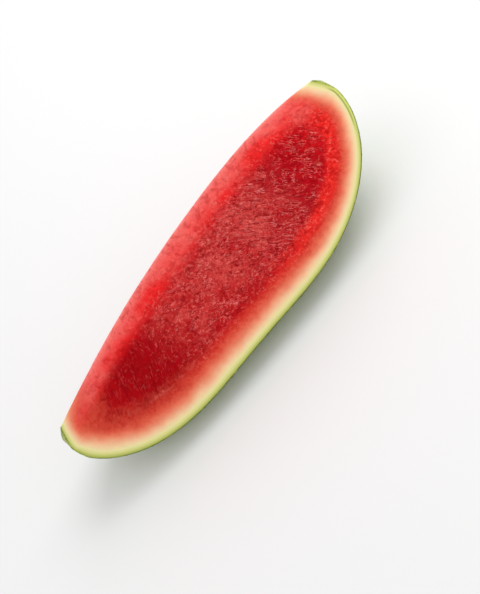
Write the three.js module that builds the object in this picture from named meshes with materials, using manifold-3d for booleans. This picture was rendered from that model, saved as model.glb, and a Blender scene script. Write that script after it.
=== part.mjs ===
// A wedge of watermelon, cut lengthwise from a small oblong melon.
// Millimetres, +Z up. The wedge rests on its rind with its ridge up and its length along X, and the
// origin is under the middle of it, on the surface that it rests on.
import * as THREE from 'three';
import { mergeVertices } from 'three/addons/utils/BufferGeometryUtils.js';
import Module from 'manifold-3d';

// The melon. A place along it is -1 at its -X end and 1 at its +X end.
const MELON_LENGTH = 274;
const MELON_RADIUS = 69.4; // what its girth would be with no waist
const END_BLUNTNESS = 2.2; // 2 is an ellipse, and more is blunter at the ends
const BELLY_PLACE = 0.04;
const WAIST = 0.149; // the part of its radius that the melon lacks where it is slimmest
const WAIST_PLACE = -0.16;
const WAIST_SPREAD = 0.52;
const STALK_END_LEAN = 0.6; // how steeply the -X end leans back above the melon's axis
const BLOSSOM_END_LEAN = 0.33; // how steeply the +X end does
const END_LEAN_SHARPNESS = 8; // more keeps the lean closer to the end
const END_LEAN_START = 4; // the height over which the lean sets in
const STALK_CAP_START = 134.3; // beyond this distance from its middle, the -X end is blunted
const STALK_CAP_SHARE = 0.45; // how much of the length beyond it is left

// The two cuts: they meet in the ridge, which runs beyond the melon's axis and bows outwards.
const ANGLE_BETWEEN_CUTS = THREE.MathUtils.degToRad(55);
const RIDGE_ABOVE_AXIS_AT_ENDS = 12.5;
const RIDGE_BOW = 22; // how much higher the ridge is at its middle than at its ends
const RIDGE_BOW_BLUNTNESS = 2.3;
const RIDGE_BOW_PLACE = 0.15;

// The wedge tips a little towards -X until it is balanced, and its own weight presses a small flat
// into the rind, where it bears on the surface.
const TIP_TO_BALANCE = THREE.MathUtils.degToRad(4.4);
const BEARING_DEPTH = 0.5;

// How finely the curved faces are faceted.
const PROFILE_STEPS = 40;
const ROUND_STEPS = 80;
const RIDGE_STEPS = 44;

const HALF_LENGTH = MELON_LENGTH / 2;

const wasm = await Module();
wasm.setup();

/** Moves a place along the melon, so that what is at `middle` counts as the middle. */
const shifted = (place, middle) => (place - middle) / (1 - middle * place);

/** A bow from 0 at both ends to 1 at its middle. */
const bow = (place, bluntness) => 1 - Math.abs(place) ** bluntness;

/** How much of the melon's radius is left at a place, beside its waist. */
const waist = (place) => 1 - WAIST * Math.exp(-(((place - WAIST_PLACE) / WAIST_SPREAD) ** 2));

/** The height of the ridge above the melon's axis at a place along it. */
function ridgeAboveAxis(place) {
  const inside = THREE.MathUtils.clamp(place, -1, 1);
  return RIDGE_ABOVE_AXIS_AT_ENDS + RIDGE_BOW * bow(shifted(inside, RIDGE_BOW_PLACE), RIDGE_BOW_BLUNTNESS);
}

/** How far an end leans back along X at a place along the melon and a height above its axis. */
function endLean(place, height) {
  if (height < 0) return 0;
  const lean = place < 0 ? STALK_END_LEAN : -BLOSSOM_END_LEAN;
  return lean * Math.abs(place) ** END_LEAN_SHARPNESS * (height ** 2 / (height + END_LEAN_START));
}

/** Where a distance along the melon from its middle comes to lie once the -X end is blunted. */
function blunted(along) {
  return along + (1 - STALK_CAP_SHARE) * Math.max(0, -along - STALK_CAP_START);
}

/** Applies `move(point)` to every corner of a geometry. */
function moveCorners(geometry, move) {
  const corners = geometry.getAttribute('position');
  const point = new THREE.Vector3();
  for (let i = 0; i < corners.count; i++) {
    move(point.fromBufferAttribute(corners, i));
    corners.setXYZ(i, point.x, point.y, point.z);
  }
  return geometry;
}

/** The whole melon: half its outline turned about its axis, which lies along X, with its ends leaning. */
function melonGeometry() {
  const outline = [];
  for (let step = 0; step <= PROFILE_STEPS; step++) {
    const fromBelly = -Math.cos((Math.PI * step) / PROFILE_STEPS);
    const place = shifted(fromBelly, -BELLY_PLACE);
    const radius = MELON_RADIUS * Math.sqrt(bow(fromBelly, END_BLUNTNESS)) * waist(place);
    outline.push(new THREE.Vector2(radius, HALF_LENGTH * place));
  }
  outline[0].x = 0;
  outline[PROFILE_STEPS].x = 0;
  const melon = new THREE.LatheGeometry(outline, ROUND_STEPS).rotateZ(-Math.PI / 2);
  return moveCorners(melon, (point) => {
    point.x = blunted(point.x) + endLean(point.x / HALF_LENGTH, point.z);
  });
}

/** The space between the two cuts, as a triangular bar whose upper edge follows the ridge. */
function spaceBetweenCuts() {
  const reach = 2 * MELON_RADIUS + RIDGE_BOW;
  const halfWidth = reach * Math.tan(ANGLE_BETWEEN_CUTS / 2);
  const section = new THREE.Shape([
    new THREE.Vector2(0, 0),
    new THREE.Vector2(-halfWidth, -reach),
    new THREE.Vector2(halfWidth, -reach),
  ]);
  const bar = new THREE.ExtrudeGeometry(section, {
    depth: MELON_LENGTH + RIDGE_BOW,
    steps: RIDGE_STEPS,
    bevelEnabled: false,
  });
  bar.center().rotateX(Math.PI / 2).rotateZ(Math.PI / 2).translate(0, 0, -reach / 2);
  return moveCorners(bar, (point) => {
    point.z += ridgeAboveAxis(point.x / HALF_LENGTH);
  });
}

/** Everything below a height. */
function spaceBelow(height) {
  return new THREE.BoxGeometry(2 * MELON_LENGTH, 4 * MELON_RADIUS, 2 * MELON_RADIUS)
    .translate(0, 0, height - MELON_RADIUS);
}

/** A closed three.js geometry as a solid. */
function solidFrom(geometry) {
  geometry.deleteAttribute('normal');
  geometry.deleteAttribute('uv');
  const merged = mergeVertices(geometry);
  return new wasm.Manifold(new wasm.Mesh({
    numProp: 3,
    vertProperties: new Float32Array(merged.getAttribute('position').array),
    triVerts: new Uint32Array(merged.getIndex().array),
  }));
}

/** A solid as a three.js geometry, with its box worked out. */
function geometryFrom(solid) {
  const mesh = solid.getMesh();
  const geometry = new THREE.BufferGeometry();
  geometry.setAttribute('position', new THREE.BufferAttribute(mesh.vertProperties, 3));
  geometry.setIndex(new THREE.BufferAttribute(mesh.triVerts, 1));
  geometry.computeVertexNormals();
  geometry.computeBoundingBox();
  return geometry;
}

/** The wedge: the melon between the two cuts, balanced, with its bearing flat under it at Z = 0. */
function wedgeGeometry() {
  const wedge = solidFrom(melonGeometry()).intersect(solidFrom(spaceBetweenCuts()));
  const balanced = geometryFrom(wedge).rotateY(-TIP_TO_BALANCE);
  balanced.computeBoundingBox();
  const surface = balanced.boundingBox.min.z + BEARING_DEPTH;
  const resting = geometryFrom(solidFrom(balanced).subtract(solidFrom(spaceBelow(surface))));
  const { min, max } = resting.boundingBox;
  return resting.translate(-(min.x + max.x) / 2, 0, -min.z);
}

const flesh = new THREE.MeshStandardMaterial({
  name: 'flesh_and_rind',
  color: 0xc8261f,
  roughness: 0.35,
  metalness: 0,
});

const wedge = new THREE.Mesh(wedgeGeometry(), flesh);
wedge.name = 'watermelon_wedge';

const part = new THREE.Group();
part.add(wedge);

export default part;
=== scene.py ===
"""A wedge of watermelon that rests on its rind, ridge up: one piece, with a cut finish and a skin finish."""
from math import cos, exp, hypot, radians, sin, sqrt

import bpy
from mathutils import Matrix, Vector
from mathutils.bvhtree import BVHTree


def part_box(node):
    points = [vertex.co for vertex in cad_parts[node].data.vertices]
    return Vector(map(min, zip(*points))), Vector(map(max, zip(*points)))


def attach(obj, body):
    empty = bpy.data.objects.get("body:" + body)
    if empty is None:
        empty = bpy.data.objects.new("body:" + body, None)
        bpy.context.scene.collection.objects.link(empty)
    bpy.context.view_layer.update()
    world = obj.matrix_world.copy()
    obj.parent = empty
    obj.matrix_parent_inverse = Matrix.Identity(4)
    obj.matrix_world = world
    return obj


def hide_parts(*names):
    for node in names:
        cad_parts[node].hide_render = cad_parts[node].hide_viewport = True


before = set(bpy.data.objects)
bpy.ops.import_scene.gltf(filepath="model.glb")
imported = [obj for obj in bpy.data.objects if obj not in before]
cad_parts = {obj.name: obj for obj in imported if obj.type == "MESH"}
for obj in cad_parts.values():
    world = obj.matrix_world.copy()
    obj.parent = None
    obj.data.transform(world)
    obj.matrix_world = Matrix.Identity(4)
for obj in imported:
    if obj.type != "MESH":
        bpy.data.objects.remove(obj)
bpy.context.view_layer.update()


# --- The melon that the wedge is cut from -----------------------------------------------------------
# A small oblong melon with a slight waist. Its ends lean back above its axis, and the -X end, where the
# stalk sat, leans the most and is blunter. Each end has a shallow dimple. Its axis lies along X.
MELON_HALF_LENGTH = 0.137
MELON_RADIUS = 0.0694
END_BLUNTNESS = 2.2
BELLY_PLACE = 0.04
WAIST = 0.149
WAIST_PLACE = -0.16
WAIST_SPREAD = 0.52
STALK_END_LEAN = 0.6
BLOSSOM_END_LEAN = 0.33
END_LEAN_SHARPNESS = 8
END_LEAN_START = 0.004
DIMPLE_DEPTH = 0.0012
DIMPLE_RADIUS = 0.0065
STALK_CAP_START = 0.1343
STALK_CAP_SHARE = 0.45
STEPS_AROUND = 180
STEPS_ALONG = 150


def shifted(place, middle):
    """Moves a place along the melon, from -1 to 1, so that what is at `middle` counts as its middle."""
    return (place - middle) / (1 - middle * place)


def bow(place, bluntness):
    """A bow from 0 at both ends to 1 at its middle."""
    return 1 - min(abs(place), 1.0) ** bluntness


def melon_corner(unit):
    """Where a point of the unit sphere, with its poles on X, comes to lie on the melon."""
    from_belly = max(-1.0, min(1.0, unit.x))
    place = shifted(from_belly, -BELLY_PLACE)
    waist = 1 - WAIST * exp(-(((place - WAIST_PLACE) / WAIST_SPREAD) ** 2))
    radius = MELON_RADIUS * sqrt(bow(from_belly, END_BLUNTNESS)) * waist
    corner = Vector((0, unit.y, unit.z)).normalized() * radius
    dimple = DIMPLE_DEPTH * max(0.0, 1 - (radius / DIMPLE_RADIUS) ** 2) ** 2
    end = 1 if place > 0 else -1
    corner.x = MELON_HALF_LENGTH * place - end * dimple
    corner.x += (1 - STALK_CAP_SHARE) * max(0.0, -corner.x - STALK_CAP_START)
    if corner.z > 0:
        lean = BLOSSOM_END_LEAN if place > 0 else STALK_END_LEAN
        rise = corner.z**2 / (corner.z + END_LEAN_START)
        corner.x -= end * lean * abs(place) ** END_LEAN_SHARPNESS * rise
    return corner


bpy.ops.object.select_all(action="DESELECT")
bpy.ops.mesh.primitive_uv_sphere_add(
    segments=STEPS_AROUND, ring_count=STEPS_ALONG, radius=1, rotation=(0, radians(90), 0)
)
wedge = bpy.context.object
wedge.name = "watermelon_wedge_cut"
bpy.ops.object.transform_apply(location=False, rotation=True, scale=False)
for vertex in wedge.data.vertices:
    vertex.co = melon_corner(vertex.co)


# --- How the wedge rests ----------------------------------------------------------------------------
# Its rind bears on the surface over a small flat, and the wedge tips a little towards -X until it is
# balanced. This is the turn and move from the melon's own axes to where the CAD node lies.
TIP_TO_BALANCE = radians(4.4)
BEARING_DEPTH = 0.0005
low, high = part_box("watermelon_wedge")
tip = Matrix.Rotation(-TIP_TO_BALANCE, 4, "Y")
tipped = [tip @ vertex.co for vertex in wedge.data.vertices]
tipped_middle = (min(p.x for p in tipped) + max(p.x for p in tipped)) / 2
settle = Vector(((low.x + high.x) / 2 - tipped_middle, 0, low.z - BEARING_DEPTH - min(p.z for p in tipped)))
resting_place = Matrix.Translation(settle) @ tip
melon_surface = BVHTree.FromPolygons(
    [vertex.co.copy() for vertex in wedge.data.vertices],
    [face.vertices[:] for face in wedge.data.polygons],
)


# --- The two cuts -----------------------------------------------------------------------------------
# A knife takes the wedge out with two cuts that meet in its ridge. The ridge bows up between its ends,
# so the melon is let down by that bow, cut along two flat planes, given an even fine mesh, and raised.
ANGLE_BETWEEN_CUTS = radians(55)
RIDGE_ABOVE_AXIS_AT_ENDS = 0.0125
RIDGE_BOW = 0.022
RIDGE_BOW_BLUNTNESS = 2.3
RIDGE_BOW_PLACE = 0.15
MESH_SIZE = 0.00097
EDGE_SOFTENING = 0.5
EDGE_SOFTENING_ROUNDS = 4


def ridge_bow(x):
    """How much higher the ridge is at x, along the melon's axis, than at its ends."""
    place = max(-1.0, min(1.0, x / MELON_HALF_LENGTH))
    return RIDGE_BOW * bow(shifted(place, RIDGE_BOW_PLACE), RIDGE_BOW_BLUNTNESS)


for vertex in wedge.data.vertices:
    vertex.co.z -= ridge_bow(vertex.co.x)
bpy.ops.object.mode_set(mode="EDIT")
for side in (-1, 1):
    bpy.ops.mesh.select_all(action="SELECT")
    bpy.ops.mesh.bisect(
        plane_co=(0, 0, RIDGE_ABOVE_AXIS_AT_ENDS),
        plane_no=(0, side * cos(ANGLE_BETWEEN_CUTS / 2), sin(ANGLE_BETWEEN_CUTS / 2)),
        use_fill=True,
        clear_outer=True,
    )
bpy.ops.mesh.select_all(action="SELECT")
bpy.ops.mesh.normals_make_consistent(inside=False)
bpy.ops.object.mode_set(mode="OBJECT")
even_mesh = wedge.modifiers.new("even_mesh", "REMESH")
even_mesh.mode = "VOXEL"
even_mesh.voxel_size = MESH_SIZE
bpy.ops.object.modifier_apply(modifier=even_mesh.name)
softened = wedge.modifiers.new("softened_edges", "SMOOTH")
softened.factor = EDGE_SOFTENING
softened.iterations = EDGE_SOFTENING_ROUNDS
bpy.ops.object.modifier_apply(modifier=softened.name)
for vertex in wedge.data.vertices:
    vertex.co.z += ridge_bow(vertex.co.x)


# --- The relief of the flesh and of the skin --------------------------------------------------------
# Cut flesh is a mass of small juicy sacs, which stand a little proud or have torn out, on a face that
# follows the knife only roughly. The skin is smooth, with a faint unevenness.
FLESH_STARTS = 0.0016
FLESH_IS_FULL = 0.012
RELIEF_ON_RIDGE = 0.12
RIDGE_FADE = 0.012
SKIN_RELIEF_DEPTH = 0.0008


def relief(name, group, kind, size, height, **settings):
    """Raises and lowers one group of the wedge's corners by a procedural pattern, and applies it."""
    pattern = bpy.data.textures.new(name, kind)
    pattern.noise_scale = size
    for setting, value in settings.items():
        setattr(pattern, setting, value)
    raised = wedge.modifiers.new(name, "DISPLACE")
    raised.texture = pattern
    raised.texture_coords = "LOCAL"
    raised.vertex_group = group
    raised.strength = height
    bpy.ops.object.modifier_apply(modifier=raised.name)


flesh_group = wedge.vertex_groups.new(name="flesh")
skin_group = wedge.vertex_groups.new(name="skin")
for vertex in wedge.data.vertices:
    depth = melon_surface.find_nearest(vertex.co)[3]
    from_ridge = hypot(vertex.co.y, vertex.co.z - RIDGE_ABOVE_AXIS_AT_ENDS - ridge_bow(vertex.co.x))
    share = max(0.0, min(1.0, (depth - FLESH_STARTS) / (FLESH_IS_FULL - FLESH_STARTS)))
    share *= min(1.0, RELIEF_ON_RIDGE + from_ridge / RIDGE_FADE)
    flesh_group.add([vertex.index], share, "REPLACE")
    skin_group.add([vertex.index], 1.0 if depth < SKIN_RELIEF_DEPTH else 0.0, "REPLACE")
relief("knife_wander", "flesh", "CLOUDS", size=0.024, height=0.0010)
relief("torn_flesh", "flesh", "CLOUDS", size=0.0050, height=0.0009, noise_depth=2)
relief("sacs", "flesh", "VORONOI", size=0.0028, height=0.0006)
relief("uneven_skin", "skin", "CLOUDS", size=0.020, height=0.0005)


# --- What the finishes are told about each corner ---------------------------------------------------
# Colour follows the fruit's growth: how deep a point lies under the skin, and how far it is from the
# thin ridge, where light comes through. Both are stored on the mesh, in millimetres.
MILLIMETRES = 1000.0
for name in ("depth", "from_ridge"):
    wedge.data.attributes.new(name, "FLOAT", "POINT")
depths = wedge.data.attributes["depth"].data
ridge_distances = wedge.data.attributes["from_ridge"].data
for vertex in wedge.data.vertices:
    ridge_height = RIDGE_ABOVE_AXIS_AT_ENDS + ridge_bow(vertex.co.x)
    from_ridge = hypot(vertex.co.y, vertex.co.z - ridge_height)
    depths[vertex.index].value = melon_surface.find_nearest(vertex.co)[3] * MILLIMETRES
    ridge_distances[vertex.index].value = from_ridge * MILLIMETRES
for vertex in wedge.data.vertices:
    vertex.co = resting_place @ vertex.co
    vertex.co.z = max(vertex.co.z, low.z)
wedge.vertex_groups.clear()


# --- The cut finish: flesh, rind and the cut edge of the skin ---------------------------------------
# Deep crimson flesh pales through coral, peach and cream into yellow-green rind, with a thin olive line
# of skin. It is wet and granular; its paler middle is a painted sheen and its pale crests are painted
# highlights.
def add_node(tree, kind, inputs=(), **settings):
    """Adds a node, sets it up, and gives each input its value or links it to a socket."""
    made = tree.nodes.new(kind)
    for setting, value in settings.items():
        setattr(made, setting, value)
    for name, value in dict(inputs).items():
        if isinstance(value, bpy.types.NodeSocket):
            tree.links.new(value, made.inputs[name])
        else:
            made.inputs[name].default_value = value
    return made


def calculate(tree, operation, *values):
    """One sum on numbers."""
    return add_node(tree, "ShaderNodeMath", enumerate(values), operation=operation).outputs[0]


def fade(tree, value, start, end, low_value=0.0, high_value=1.0):
    """Goes smoothly from one number to another as the value goes from start to end."""
    inputs = {"Value": value, "From Min": start, "From Max": end, "To Min": low_value, "To Max": high_value}
    return add_node(tree, "ShaderNodeMapRange", inputs, interpolation_type="SMOOTHSTEP").outputs[0]


def colour(red, green, blue):
    """A colour given as screen values from 0 to 255, as the renderer's own values."""
    screen = [channel / 255 for channel in (red, green, blue)]
    return [c / 12.92 if c <= 0.04045 else ((c + 0.055) / 1.055) ** 2.4 for c in screen] + [1.0]


def tint(tree, amount, under, over):
    """Lays one colour over another by an amount from 0 to 1."""
    made = add_node(tree, "ShaderNodeMix", {0: amount, 6: under, 7: over}, data_type="RGBA")
    return made.outputs[2]


def colour_steps(tree, value, steps):
    """A colour that changes with a value, through (value, colour) steps."""
    ramp = add_node(tree, "ShaderNodeValToRGB", {0: value})
    elements = ramp.color_ramp.elements
    while len(elements) < len(steps):
        elements.new(0.5)
    for element, (place, shade) in zip(elements, steps):
        element.position = place
        element.color = shade
    return ramp.outputs[0]


def mottle(tree, place, size_mm, detail=2.0, roughness=0.5, distortion=0.0):
    """Soft random light and dark, from 0 to 1, with patches of about a size."""
    inputs = {
        "Vector": place,
        "Scale": 1 / size_mm,
        "Detail": detail,
        "Roughness": roughness,
        "Distortion": distortion,
    }
    return add_node(tree, "ShaderNodeTexNoise", inputs).outputs[0]


def stored(tree, name):
    """A number that is stored on the mesh."""
    return add_node(tree, "ShaderNodeAttribute", attribute_name=name).outputs["Fac"]


def product(tree, *values):
    """All the values multiplied together."""
    result = values[0]
    for value in values[1:]:
        result = calculate(tree, "MULTIPLY", result, value)
    return result


def new_group(name, outputs):
    """A node group with no inputs and the named outputs, and the node that its results go to."""
    tree = bpy.data.node_groups.new(name, "ShaderNodeTree")
    for output, kind in outputs.items():
        tree.interface.new_socket(name=output, in_out="OUTPUT", socket_type=kind)
    return tree, tree.nodes.new("NodeGroupOutput")


FACES_APART_MM = 60.0  # each cut face takes its pattern from its own layer, this far from the middle


def melon_place_group():
    """Places in the melon's own axes, and places on a cut face, in millimetres."""
    outputs = {
        "place": "NodeSocketVector",
        "on_cut": "NodeSocketVector",
        "along": "NodeSocketFloat",
        "across": "NodeSocketFloat",
        "above": "NodeSocketFloat",
        "depth": "NodeSocketFloat",
        "from_ridge": "NodeSocketFloat",
    }
    tree, result = new_group("melon_place", outputs)
    back_to_axes = resting_place.inverted()
    to_axes = {
        "Vector": tree.nodes.new("ShaderNodeTexCoord").outputs["Object"],
        "Location": back_to_axes.translation * MILLIMETRES,
        "Rotation": back_to_axes.to_euler(),
        "Scale": (MILLIMETRES,) * 3,
    }
    place = add_node(tree, "ShaderNodeMapping", to_axes).outputs[0]
    along, across, above = add_node(tree, "ShaderNodeSeparateXYZ", {0: place}).outputs
    from_ridge = stored(tree, "from_ridge")
    which_cut = calculate(tree, "MULTIPLY", calculate(tree, "SIGN", across), FACES_APART_MM)
    on_cut = add_node(tree, "ShaderNodeCombineXYZ", {0: along, 1: from_ridge, 2: which_cut}).outputs[0]
    sockets = (place, on_cut, along, across, above, stored(tree, "depth"), from_ridge)
    for name, socket in zip(outputs, sockets):
        tree.links.new(socket, result.inputs[name])
    return tree


def threads(tree, on_cut, direction, length_mm, width_mm, thinness, distortion=0.6):
    """Fine wavy lines on a cut face, 0 to 1, that run about in one direction from the long axis."""
    turn_by = {"Vector": on_cut, "Angle": -radians(direction)}
    turned = add_node(tree, "ShaderNodeVectorRotate", turn_by, rotation_type="Z_AXIS").outputs[0]
    scale = (1 / length_mm, 1 / width_mm, 1 / length_mm)
    stretched = add_node(tree, "ShaderNodeMapping", {"Vector": turned, "Scale": scale}).outputs[0]
    pattern = mottle(tree, stretched, 1.0, detail=1.5, roughness=0.55, distortion=distortion)
    off_line = calculate(tree, "ABSOLUTE", calculate(tree, "SUBTRACT", pattern, 0.5))
    return fade(tree, off_line, thinness, 0.0), pattern


SKIN_DARK = colour(62, 92, 30)
SKIN_OLIVE = colour(112, 128, 44)
SKIN_LIME = colour(172, 186, 84)
STRIPES_AROUND = 13


def skin_green_group(place_group):
    """The green of the skin, for the skin itself and for its cut edge: stripes that run from end to end."""
    outputs = {"colour": "NodeSocketColor", "stripe": "NodeSocketFloat", "off_axis": "NodeSocketFloat"}
    tree, result = new_group("skin_green", outputs)
    melon = add_node(tree, "ShaderNodeGroup", node_tree=place_group).outputs
    place = melon["place"]
    angle = calculate(tree, "ARCTAN2", melon["across"], melon["above"])
    wobble = calculate(tree, "MULTIPLY_ADD", mottle(tree, place, 11.0, detail=5.0, roughness=0.7), 5.0, -2.5)
    wave = calculate(tree, "COSINE", calculate(tree, "MULTIPLY_ADD", angle, STRIPES_AROUND, wobble))
    flat_place = add_node(tree, "ShaderNodeCombineXYZ", {0: melon["across"], 1: melon["above"]}).outputs[0]
    off_axis = add_node(tree, "ShaderNodeVectorMath", {0: flat_place}, operation="LENGTH").outputs["Value"]
    ragged = calculate(tree, "MULTIPLY_ADD", mottle(tree, place, 5.0, detail=4.0), 14.0, off_axis)
    broken = mottle(tree, place, 4.0, detail=3.0, roughness=0.6)
    stripe = product(tree, fade(tree, wave, 0.0, 0.5), fade(tree, broken, 0.25, 0.5))
    stripe = product(tree, stripe, fade(tree, ragged, 13.0, 25.0))
    veins = mottle(tree, place, 2.6, detail=4.0, roughness=0.6, distortion=1.2)
    ground = tint(tree, fade(tree, veins, 0.36, 0.62), SKIN_OLIVE, SKIN_LIME)
    green = tint(tree, calculate(tree, "MULTIPLY", stripe, 0.85), ground, SKIN_DARK)
    tree.links.new(green, result.inputs["colour"])
    tree.links.new(stripe, result.inputs["stripe"])
    tree.links.new(off_axis, result.inputs["off_axis"])
    return tree


RIND_STEPS_MM = (
    (0.0, colour(136, 150, 56)),
    (1.2, colour(178, 184, 94)),
    (2.8, colour(211, 212, 132)),
    (4.6, colour(233, 221, 162)),
    (6.6, colour(241, 203, 158)),
    (9.0, colour(239, 172, 134)),
    (11.6, colour(233, 134, 102)),
    (14.5, colour(225, 98, 74)),
    (18.5, colour(214, 62, 48)),
    (22.5, colour(198, 34, 32)),
    (27.0, colour(180, 14, 22)),
)
# painted light by the ridge: a glow for light through the thin flesh, palest in a painted highlight on the
# ridge itself
RIDGE_GLOW_AND_HIGHLIGHT_STEPS_MM = (
    (0.0, colour(251, 160, 152)),
    (1.2, colour(248, 128, 121)),
    (3.5, colour(246, 104, 99)),
    (8.0, colour(241, 80, 76)),
    (13.0, colour(233, 53, 52)),
    (19.0, colour(206, 24, 31)),
)
CORE_STEPS_MM = (
    (-110.0, colour(190, 16, 22)),
    (-78.0, colour(158, 0, 10)),
    (-52.0, colour(168, 4, 16)),
    (-25.0, colour(184, 18, 26)),
    (45.0, colour(184, 22, 30)),
    (70.0, colour(174, 8, 24)),
    (92.0, colour(184, 4, 20)),
    (112.0, colour(214, 24, 28)),
)
# a painted sheen: pale pink for soft light reflected off the wet middle of the cut face
SHEEN_PINK = colour(214, 71, 67)
PINK_CLOUD = colour(245, 112, 104)
PURE_RED = colour(238, 16, 22)
EDGE_RED = colour(242, 46, 38)
DULL_CORAL = colour(188, 72, 52)
PALE_SAC = colour(240, 118, 106)
# a dark red for the gaps between sacs, and painted shade in the troughs of the wet threads
DARK_SAC_AND_TROUGH_SHADE = colour(118, 0, 8)
GAP_RED = colour(196, 14, 20)
# a pale pink for painted highlights on the crests and painted sheen on the strands, and for the faint fibres
THREAD_PINK_AND_HIGHLIGHT = colour(242, 142, 136)
CORNER_OLIVE = colour(146, 152, 74)
CORNER_LIME = colour(204, 211, 112)


def colour_by_distance(tree, distance, steps):
    """The colour that (millimetres, colour) steps give at a distance."""
    first, span = steps[0][0], steps[-1][0] - steps[0][0]
    share = calculate(tree, "DIVIDE", calculate(tree, "SUBTRACT", distance, first), span)
    return colour_steps(tree, share, [((place - first) / span, shade) for place, shade in steps])


def cut_finish(place_group, skin_group):
    """The finish of the two cut faces."""
    material = bpy.data.materials.new("cut_flesh_and_rind")
    material.use_nodes = True
    tree = material.node_tree
    shader = tree.nodes["Principled BSDF"]
    melon = add_node(tree, "ShaderNodeGroup", node_tree=place_group).outputs
    on_cut, along, depth, from_ridge = (melon[n] for n in ("on_cut", "along", "depth", "from_ridge"))

    # the rind is thinner by the +X end, and much thinner by the ridge at the -X end; its colours wander
    wander = calculate(tree, "MULTIPLY_ADD", mottle(tree, on_cut, 12.0, detail=3.0), 5.0, -2.5)
    wander = product(tree, wander, fade(tree, depth, 2.0, 10.0))
    thinner = calculate(tree, "MULTIPLY_ADD", along, 0.0011, 1.02)
    thinner = calculate(tree, "ADD", thinner, fade(tree, along, 20.0, 110.0, 0.0, 0.14))
    at_tip = product(tree, fade(tree, along, -104.0, -124.0), fade(tree, from_ridge, 24.0, 5.0))
    thinner = calculate(tree, "ADD", thinner, calculate(tree, "MULTIPLY", at_tip, 0.8))
    rind_depth = calculate(tree, "MULTIPLY_ADD", depth, thinner, wander)
    rind = colour_by_distance(tree, rind_depth, RIND_STEPS_MM)

    # the core: crimson, with a painted sheen over its middle: pale pink for soft light reflected off the wet
    # face
    core = colour_by_distance(tree, along, CORE_STEPS_MM)
    over_middle = product(tree, fade(tree, along, -58.0, -26.0), fade(tree, along, 84.0, 34.0))
    sheen_patches = fade(tree, mottle(tree, on_cut, 15.0, detail=5.0, roughness=0.6), 0.32, 0.66)
    off_rind = fade(tree, depth, 20.0, 42.0)
    painted_sheen = product(tree, over_middle, off_rind, calculate(tree, "MULTIPLY_ADD", sheen_patches, 0.82, 0.08))
    core = tint(tree, painted_sheen, core, SHEEN_PINK)
    flesh = tint(tree, fade(tree, rind_depth, 19.0, 28.0), rind, core)

    # where flesh turns to rind it is pure red towards +X and a dull coral towards -X
    turning = product(tree, fade(tree, rind_depth, 13.0, 19.0), fade(tree, rind_depth, 29.0, 23.0))
    narrow = product(tree, fade(tree, rind_depth, 16.0, 22.0), fade(tree, rind_depth, 31.0, 25.0))
    flesh = tint(tree, product(tree, narrow, fade(tree, along, 0.0, 70.0), 0.8), flesh, EDGE_RED)
    flesh = tint(tree, product(tree, turning, fade(tree, along, -20.0, -80.0), 0.4), flesh, DULL_CORAL)

    # the thin flesh by the ridge lets light through, painted as a glow, pink in places and pure red in
    # others;
    # the palest strip right at the ridge is a painted highlight where its blunt edge catches the light
    glow = colour_by_distance(tree, from_ridge, RIDGE_GLOW_AND_HIGHLIGHT_STEPS_MM)
    clouds = mottle(tree, on_cut, 20.0, detail=3.0)
    redder = product(tree, fade(tree, clouds, 0.47, 0.62), fade(tree, from_ridge, 3.0, 8.0))
    redder = product(tree, redder, fade(tree, along, -104.0, -84.0))
    pinker = product(tree, fade(tree, clouds, 0.47, 0.34), fade(tree, from_ridge, 2.0, 6.0))
    glow = tint(tree, calculate(tree, "MULTIPLY", redder, 0.65), glow, PURE_RED)
    glow = tint(tree, calculate(tree, "MULTIPLY", pinker, 0.55), glow, PINK_CLOUD)
    towards_tip = product(tree, from_ridge, fade(tree, along, -40.0, -80.0, 1.0, 1.35))
    glow_share = product(tree, fade(tree, towards_tip, 24.0, 10.0), fade(tree, rind_depth, 9.0, 24.0))
    flesh = tint(tree, glow_share, flesh, glow)

    # the ring of veins, a faint broken line that keeps its distance from the rind
    off_ring = calculate(tree, "ABSOLUTE", calculate(tree, "SUBTRACT", rind_depth, 23.0))
    ring_here = product(tree, fade(tree, along, 0.0, -35.0), fade(tree, from_ridge, 34.0, 46.0))
    broken = fade(tree, mottle(tree, on_cut, 9.0), 0.38, 0.60)
    ring = product(tree, fade(tree, off_ring, 1.3, 0.0), ring_here, broken, 0.26)
    flesh = tint(tree, ring, flesh, PALE_SAC)

    # sacs: dark gaps and pale ends, in the flesh only, and faintest in the bright flesh by the ridge
    in_flesh = fade(tree, rind_depth, 8.0, 22.0)
    off_glow = calculate(tree, "MULTIPLY_ADD", glow_share, -0.72, 1.0)
    shaded = product(tree, fade(tree, rind_depth, 15.0, 27.0), off_glow)
    grain = mottle(tree, on_cut, 1.9, detail=2.0, roughness=0.5, distortion=0.8)
    calm = fade(tree, along, -75.0, -35.0, 0.15, 1.0)
    lumps = mottle(tree, on_cut, 4.6, detail=2.0, roughness=0.5, distortion=0.7)
    flesh = tint(tree, product(tree, fade(tree, lumps, 0.52, 0.34), in_flesh, 0.30), flesh, GAP_RED)
    flesh = tint(tree, product(tree, fade(tree, grain, 0.50, 0.32), in_flesh, off_glow, 0.4), flesh, GAP_RED)
    flesh = tint(tree, product(tree, fade(tree, lumps, 0.48, 0.34), shaded, 0.34), flesh, DARK_SAC_AND_TROUGH_SHADE)
    flesh = tint(tree, product(tree, fade(tree, grain, 0.48, 0.32), shaded, 0.32), flesh, DARK_SAC_AND_TROUGH_SHADE)
    flesh = tint(tree, product(tree, fade(tree, grain, 0.54, 0.72), in_flesh, calm, 0.40), flesh, PALE_SAC)
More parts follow.
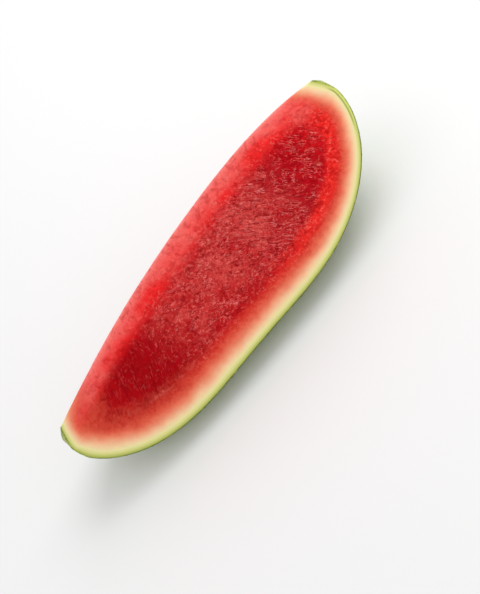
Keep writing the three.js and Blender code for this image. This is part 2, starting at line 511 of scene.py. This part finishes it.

    # wet crests by the +X end, painted as pale highlights, curly strands in the middle, painted as pale
    # sheen, and fibres by the -X end
    sparse = mottle(tree, on_cut, 6.5, detail=1.0)
    deep = product(tree, fade(tree, depth, 20.0, 28.0), fade(tree, from_ridge, 12.0, 20.0))
    crest_line, crest_height = threads(tree, on_cut, 54.0, 6.5, 1.3, 0.026, distortion=0.35)
    crest_zone = product(tree, deep, fade(tree, along, 4.0, 40.0))
    highlight_crests = product(tree, crest_line, crest_zone, fade(tree, sparse, 0.42, 0.62))
    strand_line, strand_height = threads(tree, on_cut, 30.0, 4.6, 2.2, 0.028, distortion=1.3)
    strand_zone = product(tree, deep, over_middle)
    sheen_strands = product(tree, strand_line, strand_zone, fade(tree, sparse, 0.56, 0.42))
    fibre_line, fibre_height = threads(tree, on_cut, 126.0, 7.0, 1.4, 0.030, distortion=0.3)
    fibre_zone = product(tree, deep, fade(tree, along, -30.0, -60.0))
    fibres = product(tree, fibre_line, fibre_zone, fade(tree, sparse, 0.46, 0.60))
    woven = ((crest_height, crest_zone), (strand_height, strand_zone), (fibre_height, fibre_zone))
    # each pattern is darker in its low parts: painted shade in the troughs beside the crests, strands and
    # fibres
    for height, zone in woven:
        flesh = tint(tree, product(tree, fade(tree, height, 0.48, 0.34), zone, 0.40), flesh, DARK_SAC_AND_TROUGH_SHADE)
    # pale crests are painted highlights and pale strands painted sheen; the fibres are a faint pale streak
    # of the flesh
    flesh = tint(tree, calculate(tree, "MULTIPLY", highlight_crests, 0.66), flesh, THREAD_PINK_AND_HIGHLIGHT)
    flesh = tint(tree, calculate(tree, "MULTIPLY", sheen_strands, 0.58), flesh, THREAD_PINK_AND_HIGHLIGHT)
    flesh = tint(tree, calculate(tree, "MULTIPLY", fibres, 0.12), flesh, THREAD_PINK_AND_HIGHLIGHT)

    # the knife's first bite by the +X end leaves a lime bevel with an olive line along it
    bevel = product(tree, fade(tree, along, 108.0, 120.0), fade(tree, from_ridge, 46.0, 34.0))
    bevel = product(tree, bevel, fade(tree, from_ridge, 8.0, 15.0))
    flesh = tint(tree, product(tree, bevel, fade(tree, depth, 2.6, 1.8)), flesh, CORNER_LIME)
    off_line = calculate(tree, "ABSOLUTE", calculate(tree, "SUBTRACT", depth, 2.4))
    flesh = tint(tree, product(tree, bevel, fade(tree, off_line, 0.7, 0.2), 0.8), flesh, CORNER_OLIVE)

    # the skin's own cut edge
    skin = add_node(tree, "ShaderNodeGroup", node_tree=skin_group).outputs["colour"]
    flesh = tint(tree, fade(tree, depth, 1.05, 0.35), flesh, skin)

    glints = product(tree, in_flesh, fade(tree, grain, 0.62, 0.72), 0.35)
    wet = calculate(tree, "MAXIMUM", calculate(tree, "MULTIPLY", highlight_crests, 0.6), glints)
    relief_height = product(tree, grain, in_flesh)
    for height, zone in woven:
        relief_height = calculate(tree, "ADD", relief_height, product(tree, height, zone))
    bump = add_node(tree, "ShaderNodeBump", {"Height": relief_height, "Strength": 0.7, "Distance": 0.0007})
    tree.links.new(flesh, shader.inputs["Base Color"])
    tree.links.new(bump.outputs[0], shader.inputs["Normal"])
    tree.links.new(wet, shader.inputs["Coat Weight"])
    tree.links.new(fade(tree, grain, 0.3, 0.7, 0.62, 0.38), shader.inputs["Roughness"])
    shader.inputs["Specular IOR Level"].default_value = 0.03
    shader.inputs["Coat Roughness"].default_value = 0.12
    shader.inputs["Subsurface Weight"].default_value = 0.10
    shader.inputs["Subsurface Radius"].default_value = (1.0, 0.25, 0.15)
    shader.inputs["Subsurface Scale"].default_value = 0.003
    return material


# --- The skin finish --------------------------------------------------------------------------------
# The melon's waxy skin: light green with uneven darker stripes from end to end, fine veins between
# them, and a corky scar in the dimple at each end.
SCAR_BROWN = colour(138, 114, 72)
SCAR_DARK = colour(84, 64, 38)
SCAR_RIM = colour(168, 166, 92)


def skin_finish(place_group, skin_group):
    """The finish of the melon's outside."""
    material = bpy.data.materials.new("striped_green_skin")
    material.use_nodes = True
    tree = material.node_tree
    shader = tree.nodes["Principled BSDF"]
    melon = add_node(tree, "ShaderNodeGroup", node_tree=place_group).outputs
    place = melon["place"]
    skin = add_node(tree, "ShaderNodeGroup", node_tree=skin_group).outputs
    ragged = calculate(tree, "MULTIPLY_ADD", mottle(tree, place, 1.6, detail=3.0), 3.0, skin["off_axis"])
    green = tint(tree, fade(tree, ragged, 9.5, 6.0, 0.0, 0.6), skin["colour"], SCAR_RIM)
    cork = tint(tree, fade(tree, mottle(tree, place, 0.8, detail=3.0), 0.35, 0.65), SCAR_DARK, SCAR_BROWN)
    green = tint(tree, fade(tree, ragged, 6.2, 3.6), green, cork)
    pores = mottle(tree, place, 0.9, detail=2.0)
    waviness = mottle(tree, place, 9.0, detail=2.0)
    height = calculate(tree, "MULTIPLY_ADD", pores, 0.25, waviness)
    height = calculate(tree, "MULTIPLY_ADD", skin["stripe"], -0.12, height)
    bump = add_node(tree, "ShaderNodeBump", {"Height": height, "Strength": 0.25, "Distance": 0.0010})
    tree.links.new(green, shader.inputs["Base Color"])
    tree.links.new(bump.outputs[0], shader.inputs["Normal"])
    tree.links.new(fade(tree, waviness, 0.3, 0.7, 0.34, 0.46), shader.inputs["Roughness"])
    shader.inputs["Specular IOR Level"].default_value = 0.35
    shader.inputs["Coat Weight"].default_value = 0.08
    shader.inputs["Coat Roughness"].default_value = 0.25
    return material


place_group = melon_place_group()
green_group = skin_green_group(place_group)
wedge.data.materials.clear()
wedge.data.materials.append(cut_finish(place_group, green_group))
wedge.data.materials.append(skin_finish(place_group, green_group))
SKIN_THICKNESS_MM = 0.45
depths = wedge.data.attributes["depth"].data
for face in wedge.data.polygons:
    outside = all(depths[corner].value < SKIN_THICKNESS_MM for corner in face.vertices)
    face.material_index = 1 if outside else 0
bpy.ops.object.shade_smooth()

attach(wedge, "root")
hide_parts("watermelon_wedge")


# --- The floor, the light and the camera ------------------------------------------------------------
# A pale matt floor in soft studio light. The camera looks down on one cut face and is turned about its
# own line of sight, so that the wedge lies slantwise across the picture.
FLOOR_SIZE = 8
FLOOR_GREY = 0.75
DAYLIGHT_STRENGTH = 0.95
scene = bpy.context.scene
scene.view_settings.view_transform = "Standard"
bpy.ops.object.select_all(action="DESELECT")
bpy.ops.mesh.primitive_plane_add(size=FLOOR_SIZE, location=(0, 0, low.z))
floor = bpy.context.object
floor.name = "floor"
paper = bpy.data.materials.new("pale_floor")
paper.use_nodes = True
paper_shader = paper.node_tree.nodes["Principled BSDF"]
paper_shader.inputs["Base Color"].default_value = (FLOOR_GREY, FLOOR_GREY, FLOOR_GREY, 1)
paper_shader.inputs["Roughness"].default_value = 0.9
paper_shader.inputs["Specular IOR Level"].default_value = 0.1
floor.data.materials.append(paper)

world = bpy.data.worlds.new("soft_daylight")
scene.world = world
world.use_nodes = True
daylight = world.node_tree.nodes["Background"]
daylight.inputs["Color"].default_value = (1, 1, 1, 1)
daylight.inputs["Strength"].default_value = DAYLIGHT_STRENGTH

CAMERA_ELEVATION = radians(47.5)
CAMERA_ROLL = radians(54)
CAMERA_DISTANCE = 0.9
LENS_MM = 89.4
WEDGE_OFF_CENTRE = Vector((-0.0252, 0.0189, 0))
camera_data = bpy.data.cameras.new("camera")
camera_data.lens = LENS_MM
camera = bpy.data.objects.new("camera", camera_data)
scene.collection.objects.link(camera)
scene.camera = camera
towards_camera = Vector((0, -cos(CAMERA_ELEVATION), sin(CAMERA_ELEVATION)))
facing = towards_camera.to_track_quat("Z", "Y").to_matrix()
turn = tip.to_3x3() @ facing @ Matrix.Rotation(-CAMERA_ROLL, 3, "Z")
aim = resting_place.translation - turn @ WEDGE_OFF_CENTRE
camera.matrix_world = Matrix.Translation(aim + turn @ Vector((0, 0, CAMERA_DISTANCE))) @ turn.to_4x4()

SOFTBOX_SIZE = 0.9
SOFTBOX_WATTS = 6.5
SOFTBOX_DISTANCE = 1.1
TOWARDS_SOFTBOX = Vector((0.75, 0.28, 1)).normalized()
softbox_data = bpy.data.lights.new("overhead_softbox", "AREA")
softbox_data.shape = "RECTANGLE"
softbox_data.size = SOFTBOX_SIZE
softbox_data.size_y = SOFTBOX_SIZE
softbox_data.energy = SOFTBOX_WATTS
softbox = bpy.data.objects.new("overhead_softbox", softbox_data)
scene.collection.objects.link(softbox)
softbox_facing = TOWARDS_SOFTBOX.to_track_quat("Z", "Y").to_matrix().to_4x4()
softbox.matrix_world = Matrix.Translation(TOWARDS_SOFTBOX * SOFTBOX_DISTANCE) @ softbox_facing
